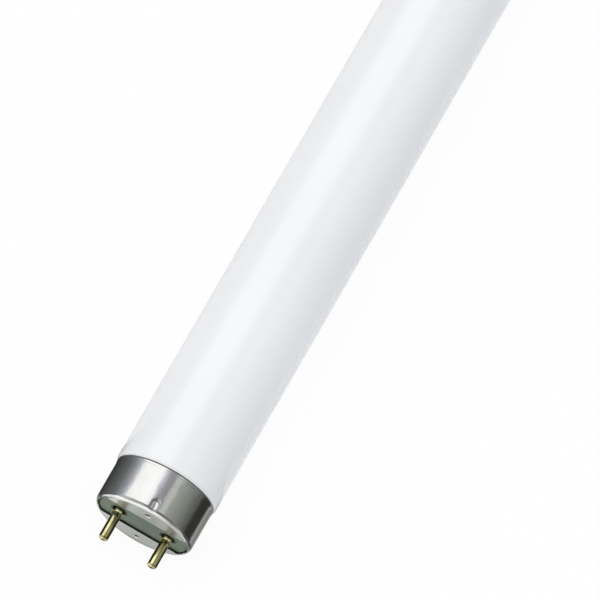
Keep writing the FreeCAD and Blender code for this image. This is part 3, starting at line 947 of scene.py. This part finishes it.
@dataclass
class EndCap:
    """One end of the lamp: shell and pins in fine meshes, and the CAD plate, cement and leads behind them."""

    end: End
    face: float
    pin_offset: float
    shell: CapShell
    pin: ContactPin

    def build(self, finishes: dict[str, bpy.types.Material]) -> None:
        """Makes and dresses the cap's pieces.

        Args:
            finishes: a material for each slot of the record.
        """
        word = self.end.word
        self.add(f"{word}_drawn_shell", self.shell.patches(), f"{word}_cap_shell", "cap_aluminium", finishes)
        for side in Side:
            patch = self.pin.patch(side.value * self.pin_offset)
            words = f"{word}_{side.word}"
            self.add(f"{words}_brass_pin", [patch], f"{words}_pin", "pin_brass", finishes)
            dress(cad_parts[f"{words}_lead"], finishes["lead_wire"])
        dress(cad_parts[f"{word}_insulator_plate"], finishes["insulator_board"])
        dress(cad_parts[f"{word}_cap_cement"], finishes["capping_cement"])

    def add(self, name: str, patches: list[Patch], node: str, slot: str,
            finishes: dict[str, bpy.types.Material]) -> None:
        """Places grids at this end as one dressed piece.

        Args:
            name: the piece's name.
            patches: its grids in the cap's frame.
            node: the CAD node that it replaces.
            slot: the record's material slot.
            finishes: a material for each slot.
        """
        placed = [Patch(self.end.place(patch.points, self.face), patch.rows_close, patch.columns_close)
                  for patch in patches]
        dress(make_piece(name, placed, node), finishes[slot])


# The studio

# How high the cards lie above the floor, in mm: the shade cards lie under the others
CARD_HEIGHT = 0.3
SHADE_HEIGHT = 0.2


@dataclass(frozen=True)
class Tone:
    """A stop in a band of studio light: where it is, its colour and its brightness."""

    at: float
    colour: str
    level: float


def tones(colour: str, *stops: Span) -> tuple[Tone, ...]:
    """Tones of one colour, from the place and the brightness of each."""
    return tuple(Tone(at, colour, level) for at, level in stops)


@dataclass(frozen=True)
class Fill:
    """A square soft lamp: its middle and its side in metres, its power in watts and its sRGB colour."""

    name: str
    place: tuple[float, float, float]
    size: float
    power: float
    colour: str = "FFFFFF"


@dataclass(frozen=True)
class Flank:
    """The cards on one side of a cap: tones by mm out from the axis, and the shade card's outer edge."""

    side: Side
    skirt: tuple[Tone, ...]
    glass: tuple[Tone, ...]
    far: tuple[Tone, ...]
    shade_edge: tuple[Span, ...]


@dataclass(frozen=True)
class Strip:
    """A card across a cap's axis: its ends along x, its half width at each, its tones and its height."""

    word: str
    ends: Span
    halves: Span
    tones: tuple[Tone, ...]
    height: float = CARD_HEIGHT

    @property
    def corners(self) -> list[Span]:
        """Its corners in the cap's frame, in order."""
        (start, stop), (half, far_half) = self.ends, self.halves
        return [(start, -half), (start, half), (stop, far_half), (stop, -far_half)]


def mesh_card(name: str, corners: list[tuple[float, float, float]]) -> bpy.types.Object:
    """Makes a flat card for the studio.

    Args:
        name: the card's name.
        corners: its corners in metres, in order.

    Returns:
        The card.
    """
    mesh = bpy.data.meshes.new(name)
    mesh.from_pydata(corners, [], [tuple(range(len(corners)))])
    card = bpy.data.objects.new(name, mesh)
    bpy.context.scene.collection.objects.link(card)
    return card


@dataclass
class Studio:
    """White paper floor, long banks of light, soft fill lamps, and grey cards that only the metal mirrors.

    The floor's height and half width and the x of the near cap's face are in metres.
    """

    floor_z: float
    face_x: float
    pin_offset: float
    floor_half: float = 9.0
    floor_colour: str = "FAFAFA"
    floor_lift: float = 0.93
    peak: float = 1.4
    ring_from: Span = (0.38, 0.46)
    panel_from: Span = (0.86, 0.93)
    panel_colour: str = "FFFFFC"
    panel_level: float = 1.35
    card_near: float = 12.0
    card_reach: float = 560.0
    card_front: Span = (5.0, -154.0)
    card_back: float = 17.0
    card_slant: float = 0.42
    flag_x: Span = (-6.4, 0.5)
    flag_gap: float = 5.1
    flag_foot: float = 8.2

    FILLS = (
        Fill("left_fill", (-0.25, 1.2, 0.49), 0.9, 1.4),
        Fill("right_fill", (-0.25, -1.1, 0.75), 1.2, 5.7, "F4F8FF"),
        Fill("top_fill", (-0.3, 0.2, 1.6), 1.6, 8.7),
    )
    # Banks of light round the lamp's axis, by degrees from overhead towards +Y
    BANKS = (
        *tones("CACEC6", (-90, 0.15), (-86, 0.20)),
        *tones("CACEC4", (-78, 0.26), (-64, 0.41), (-48, 0.55)),
        *tones("CACCC6", (-31, 0.72)),
        *tones("E6E8E2", (-27, 0.72), (-23, 0.80), (-17, 0.80)),
        *tones("DADADA", (-13, 0.72)),
        *tones("CCCBD3", (-10, 0.60), (-5, 0.60)),
        *tones("CCCBD4", (1, 0.69), (8, 1.02)),
        *tones("E4E2EC", (12, 1.10)),
        *tones("FFFFFD", (15, 1.22), (24, 1.34), (58, 1.30)),
        *tones("FFFFFF", (64, 1.14)),
        *tones("EAECF2", (72, 0.70)),
        *tones("D6D8E0", (80, 0.58)),
        *tones("D0D1D4", (90, 0.39)),
    )
    # A darker ring nearer the ends, by the same degrees
    RING = tones(
        "FFFFFF", (-90, 0.32), (-64, 0.27), (-20, 0.22), (2, 0.22), (14, 0.34), (24, 0.48), (90, 0.62))
    # The cards on each side, of a cap and far off, as they lie on the left
    FLANKS = (
        Flank(
            Side.LEFT,
            skirt=(
                *tones("F8FFFA", (13, 0.015), (17, 0.040), (24, 0.067), (34, 0.10)),
                *tones("F8FFFC", (59, 0.14), (91, 0.17)),
                *tones("F8FCFF", (209, 0.21)),
                *tones("F8FAFF", (618, 0.28)),
            ),
            glass=tones("FFFFFF", (13, 0.84), (20, 0.74), (31, 0.60), (60, 0.38), (560, 0.30)),
            far=tones("F8FAFF", (600, 0.28), (9000, 0.33)),
            shade_edge=((-8.0, 12.0), (-7.0, 27.5), (-325.0, 560.0)),
        ),
        Flank(
            Side.RIGHT,
            skirt=tones(
                "F4F8F0", (13, 0.50), (17, 0.34), (22, 0.27), (27, 0.30), (29, 0.44), (34, 0.44),
                (36, 0.26), (39, 0.07), (46, 0.044), (209, 0.046), (560, 0.075)),
            glass=tones("FFFFFF", (13, 0.95), (20, 0.80), (31, 0.62), (60, 0.30), (120, 0.08)),
            far=tones("F4F8F0", (560, 0.075), (9000, 0.10)),
            shade_edge=((-8.0, 12.0), (-9.0, 20.0), (-31.0, 40.0), (-345.0, 560.0)),
        ),
    )
    SHADE = tones("FFFFFF", (13, 0.40), (17, 0.32), (21, 0.12), (60, 0.10), (560, 0.20))
    # The cards under, before and above a cap, by mm across from the lamp's axis
    DARK = tones("FFFFFF", (-12, 0.02), (12, 0.02))
    STRIPS = (
        Strip("under", (17.0, -0.6), (12.0, 12.0), DARK),
        Strip("low", (-0.6, -3.4), (12.0, 12.0), tones("F6FAF4", (-12, 0.60), (12, 0.70))),
        Strip("face", (-3.4, -22.0), (12.0, 22.0),
              (*tones("F4FAEE", (-14, 0.52), (2, 0.50)), Tone(9, "FCFCFA", 0.90))),
        Strip("far", (-22.0, -800.0), (22.0, 1300.0), tones(
            "FFFFFC", (-40, 0.66), (-24, 0.66), (-17, 0.78), (-11, 1.00), (0, 1.22), (10, 1.35))),
        Strip("hood", (-110.0, -330.0), (1500.0, 1500.0), tones(
            "FFFFFF", (-1500, 0.22), (-400, 0.17), (60, 0.17), (250, 0.42), (1500, 0.42)), height=480.0),
    )
    # The flags beside each pin: the side of the pin and the height of the top
    FLAGS = ((Side.LEFT, 15.8), (Side.RIGHT, 12.5))

    def build(self) -> None:
        """Makes the floor, the lights and the cards of both ends."""
        self.add_floor()
        self.add_world()
        for fill in self.FILLS:
            self.add_fill(fill)
        for end in End:
            self.add_cards(end)
        near, half = self.card_reach, self.floor_half / MM
        corners = [(-half, near), (half, near), (half, half), (-half, half)]
        for flank in self.FLANKS:
            self.add_side_card(f"{flank.side.word}_far_card", End.NEAR, flank.side, corners, flank.far)

    def add_floor(self) -> None:
        """Lays a sheet of paper that the camera and the metal see as white, with the lamp's shadow on it."""
        half = self.floor_half
        corners = [(-half, -half), (half, -half), (half, half), (-half, half)]
        floor = mesh_card("paper_floor", [(*corner, self.floor_z) for corner in corners])
        material, tree = empty_material("matt_white_paper")
        path = add_node(tree, "ShaderNodeLightPath").outputs
        seen = add_node(tree, "ShaderNodeMath", {0: path["Is Camera Ray"], 1: path["Is Glossy Ray"]},
                        operation="ADD")
        seen = add_node(tree, "ShaderNodeMath", {0: seen.outputs[0], 1: path["Is Transmission Ray"]},
                        operation="ADD", use_clamp=True)
        lift = add_node(tree, "ShaderNodeMath", {0: seen.outputs[0], 1: self.floor_lift},
                        operation="MULTIPLY")
        paper = add_node(tree, "ShaderNodeBsdfDiffuse", {"Color": linear(self.floor_colour)})
        white = add_node(tree, "ShaderNodeEmission", {"Strength": 1.0})
        mixed = add_node(tree, "ShaderNodeMixShader", {
            0: lift.outputs[0], 1: paper.outputs["BSDF"], 2: white.outputs["Emission"]})
        add_node(tree, "ShaderNodeOutputMaterial", {"Surface": mixed.outputs["Shader"]})
        dress(floor, material)

    def ring_stops(self, band: tuple[Tone, ...]) -> list[tuple[float, tuple]]:
        """Stops of a half turn of light for a colour ramp, by shares of the turn and of the peak level."""
        return [((tone.at + 90) / 180, linear(tone.colour, tone.level / self.peak)) for tone in band]

    def add_world(self) -> None:
        """Surrounds the lamp with soft light: banks along it, a darker ring and a panel before each end."""
        world = bpy.data.worlds.new("studio_banks")
        world.use_nodes = True
        tree = world.node_tree
        tree.nodes.clear()
        toward = add_node(tree, "ShaderNodeTexCoord").outputs["Generated"]
        axes = add_node(tree, "ShaderNodeSeparateXYZ", {"Vector": toward}).outputs
        around = add_node(tree, "ShaderNodeMath", {0: axes["Y"], 1: axes["Z"]}, operation="ARCTAN2")
        share = add_node(tree, "ShaderNodeMapRange", {
            "Value": around.outputs[0], "From Min": -math.pi / 2, "From Max": math.pi / 2})
        banks = add_node(tree, "ShaderNodeValToRGB", {"Fac": share.outputs["Result"]})
        fill_ramp(banks.color_ramp, self.ring_stops(self.BANKS))
        ring = add_node(tree, "ShaderNodeValToRGB", {"Fac": share.outputs["Result"]})
        fill_ramp(ring.color_ramp, self.ring_stops(self.RING))
        lengthwise = add_node(tree, "ShaderNodeMath", {0: axes["X"]}, operation="ABSOLUTE").outputs[0]
        nearer, facing = (
            add_node(tree, "ShaderNodeMapRange", {"Value": lengthwise, "From Min": start, "From Max": stop},
                     interpolation_type="SMOOTHSTEP").outputs["Result"]
            for start, stop in (self.ring_from, self.panel_from))
        dimmed = add_node(tree, "ShaderNodeMix", {
            "Factor": nearer, "A": banks.outputs["Color"], "B": ring.outputs["Color"]}, data_type="RGBA")
        colour = add_node(tree, "ShaderNodeMix", {
            "Factor": facing, "A": dimmed.outputs["Result"],
            "B": linear(self.panel_colour, self.panel_level / self.peak)}, data_type="RGBA")
        light = add_node(tree, "ShaderNodeBackground", {
            "Color": colour.outputs["Result"], "Strength": self.peak})
        add_node(tree, "ShaderNodeOutputWorld", {"Surface": light.outputs["Background"]})
        bpy.context.scene.world = world

    def add_fill(self, fill: Fill) -> None:
        """Adds a soft lamp that points at the near cap and that the metal does not mirror."""
        lamp = bpy.data.lights.new(fill.name, "AREA")
        lamp.size = fill.size
        lamp.energy = fill.power
        lamp.color = linear(fill.colour)[:3]
        holder = bpy.data.objects.new(fill.name, lamp)
        holder.location = fill.place
        toward = Vector((self.face_x, 0.0, 0.0)) - holder.location
        holder.rotation_euler = toward.to_track_quat("-Z", "Y").to_euler()
        holder.visible_glossy = False
        bpy.context.scene.collection.objects.link(holder)

    def add_cards(self, end: End) -> None:
        """Lays the cards of one end on the floor, where the skirt, the pins and the end face mirror them.

        On each side a card runs back from the cap as the photograph's camera sees it mirrored in the skirt,
        and a darker one before it gives the rounded rim its line. A grey one behind it dims the glass's edge.
        A small dark flag stands on each flank of a pin. The other cards lie under the cap, close before it
        and far off, and the camera's dark hood hangs above.

        Args:
            end: the end that the cards lie at.
        """
        near, reach, middle = self.card_near, self.card_reach, -self.face_x / MM
        front, front_out = (self.card_front[0], near), (self.card_front[1], reach)
        back, back_out = (self.card_back, near), (self.card_back + self.card_slant * (reach - near), reach)
        for flank in self.FLANKS:
            words = f"{end.word}_{flank.side.word}"
            for kind, corners, shades, height in (
                    ("skirt", [front, back, back_out, front_out], flank.skirt, CARD_HEIGHT),
                    ("glass", [back, (middle, near), (middle, reach), back_out], flank.glass, CARD_HEIGHT),
                    ("shade", [*flank.shade_edge, front_out, front], self.SHADE, SHADE_HEIGHT)):
                self.add_side_card(f"{words}_{kind}_card", end, flank.side, corners, shades, height)
            for pin_side, top in self.FLAGS:
                beside = flank.side.value * self.pin_offset + pin_side.value * self.flag_gap
                corners = [(x, beside) for x in (*self.flag_x, *self.flag_x[::-1])]
                self.add_card(f"{words}_pin_{pin_side.word}_flag", end, corners, self.DARK,
                              [self.flag_foot, self.flag_foot, top, top])
        for strip in self.STRIPS:
            self.add_card(f"{end.word}_{strip.word}_card", end, strip.corners, strip.tones, strip.height)

    def add_side_card(self, name: str, end: End, side: Side, corners: list[Span], shades: tuple[Tone, ...],
                      height: float = CARD_HEIGHT) -> None:
        """Sets one card beside the lamp, on the left as it is given or on the right as its mirror image.

        Args:
            name: the card's name.
            end: the end of the lamp that it lies at.
            side: the side that it lies on.
            corners: x and y of its corners in the cap's frame, in mm.
            shades: its tones by mm out from the axis.
            height: how high it lies above the floor, in mm.
        """
        turned_out = tuple(Tone(side.value * tone.at, tone.colour, tone.level) for tone in shades)
        self.add_card(name, end, [(x, side.value * y) for x, y in corners], turned_out, height)

    def add_card(self, name: str, end: End, corners: list[Span], shades: tuple[Tone, ...],
                 heights: float | list[float]) -> None:
        """Sets one card whose tone changes across the lamp, seen by mirroring surfaces alone.

        Args:
            name: the card's name.
            end: the end of the lamp that it lies at.
            corners: x and y of its corners in the cap's frame, in mm.
            shades: its tones by mm across from the axis, in the cap's frame.
            heights: how high it lies above the floor, or each of its corners, in mm.
        """
        levels = np.broadcast_to(heights, len(corners)) + self.floor_z / MM
        places = end.place(np.column_stack([corners, levels]), -self.face_x / MM) * MM
        card = mesh_card(name, places.tolist())
        turn = -end.value
        stops = sorted((turn * tone.at * MM, linear(tone.colour, tone.level)) for tone in shades)
        low, high = stops[0][0], stops[-1][0]
        material, tree = empty_material(f"{name}_grey")
        place = add_node(tree, "ShaderNodeTexCoord").outputs["Object"]
        axes = add_node(tree, "ShaderNodeSeparateXYZ", {"Vector": place})
        share = add_node(tree, "ShaderNodeMapRange", {
            "Value": axes.outputs["Y"], "From Min": low, "From Max": high})
        grey = add_node(tree, "ShaderNodeValToRGB", {"Fac": share.outputs["Result"]})
        fill_ramp(grey.color_ramp, [((at - low) / (high - low), colour) for at, colour in stops])
        shader = add_node(tree, "ShaderNodeEmission", {"Color": grey.outputs["Color"], "Strength": 1.0})
        add_node(tree, "ShaderNodeOutputMaterial", {"Surface": shader.outputs["Emission"]})
        dress(card, material)
        card.visible_camera = False
        card.visible_diffuse = False
        card.visible_shadow = False
        card.visible_transmission = False


@dataclass
class PhotoCamera:
    """The photograph's camera: far off with a long lens, tilted down on the lamp and rolled.

    The x of the near cap's face is in metres, and the scale is in pixels to the millimetre.
    """

    face_x: float
    picture: float = 600.0
    scale: float = 4.41
    face_pixel: tuple[float, float] = (142.15, 526.4)
    tilt: float = 19.3
    roll: float = 30.0
    lens: float = 1200.0
    sensor: float = 36.0

    def build(self) -> None:
        """Makes the camera so that the near cap's face lies at its pixel, at the photograph's scale."""
        tilt, roll = math.radians(self.tilt), math.radians(self.roll)
        view = Vector((math.sin(tilt), 0.0, -math.cos(tilt)))
        along = Vector((math.cos(tilt), 0.0, math.sin(tilt)))
        side = view.cross(along)
        up = along * math.cos(roll) - side * math.sin(roll)
        right = view.cross(up)
        middle = self.picture / 2
        offset = right * (middle - self.face_pixel[0]) + up * (self.face_pixel[1] - middle)
        target = Vector((self.face_x, 0.0, 0.0)) + offset * MM / self.scale
        distance = self.picture / self.scale * MM * self.lens / self.sensor
        data = bpy.data.cameras.new("photo_camera")
        data.lens = self.lens
        data.sensor_width = self.sensor
        data.clip_end = 4 * distance
        camera = bpy.data.objects.new("photo_camera", data)
        camera.matrix_world = (Matrix.Translation(target - view * distance)
                               @ Matrix((right, up, -view)).transposed().to_4x4())
        bpy.context.scene.collection.objects.link(camera)
        bpy.context.scene.camera = camera


def main() -> None:
    """Builds the lamp from the sizes of the CAD parts, then the studio and the camera."""
    shell_low, shell_high = (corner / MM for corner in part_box("near_cap_shell"))
    glass_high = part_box("glass_tube")[1] / MM
    pin_low, pin_high = (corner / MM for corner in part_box("near_left_pin"))
    face = -shell_low.x
    pin_offset = (pin_low.y + pin_high.y) / 2
    shell = CapShell(radius=12.3, length=shell_high.x - shell_low.x, mouth_radius=shell_high.y)
    pin = ContactPin(radius=1.175, tip_x=pin_low.x + face)
    finishes = {
        "coated_glass": CoatedGlass(neck=face - shell.length).material(),
        "cap_aluminium": DrawnAluminium(face, shell.window_half, shell.dimple_offset).material(),
        "insulator_board": LaminateBoard(pin_offset).material(),
        "pin_brass": RolledBrass(face, pin_offset).material(),
        "capping_cement": CappingCement().material(),
        "lead_wire": NickelWire().material(),
    }
    glass = GlassTube(face=face, radius=glass_high.y, mouth_x=shell.length,
                      mouth_radius=shell.mouth_radius - shell.sheet - MOUTH_GAP)
    dress(glass.build(), finishes["coated_glass"])
    for end in End:
        EndCap(end, face, pin_offset, shell, pin).build(finishes)
        log.info("%s cap dressed", end.word)
    Studio(floor_z=-glass.radius * MM, face_x=-face * MM, pin_offset=pin_offset).build()
    PhotoCamera(face_x=-face * MM).build()
    bpy.context.scene.view_settings.view_transform = "Standard"


if __name__ == "__main__":
    logging.basicConfig(level=logging.INFO, format="%(name)s: %(message)s")
    main()
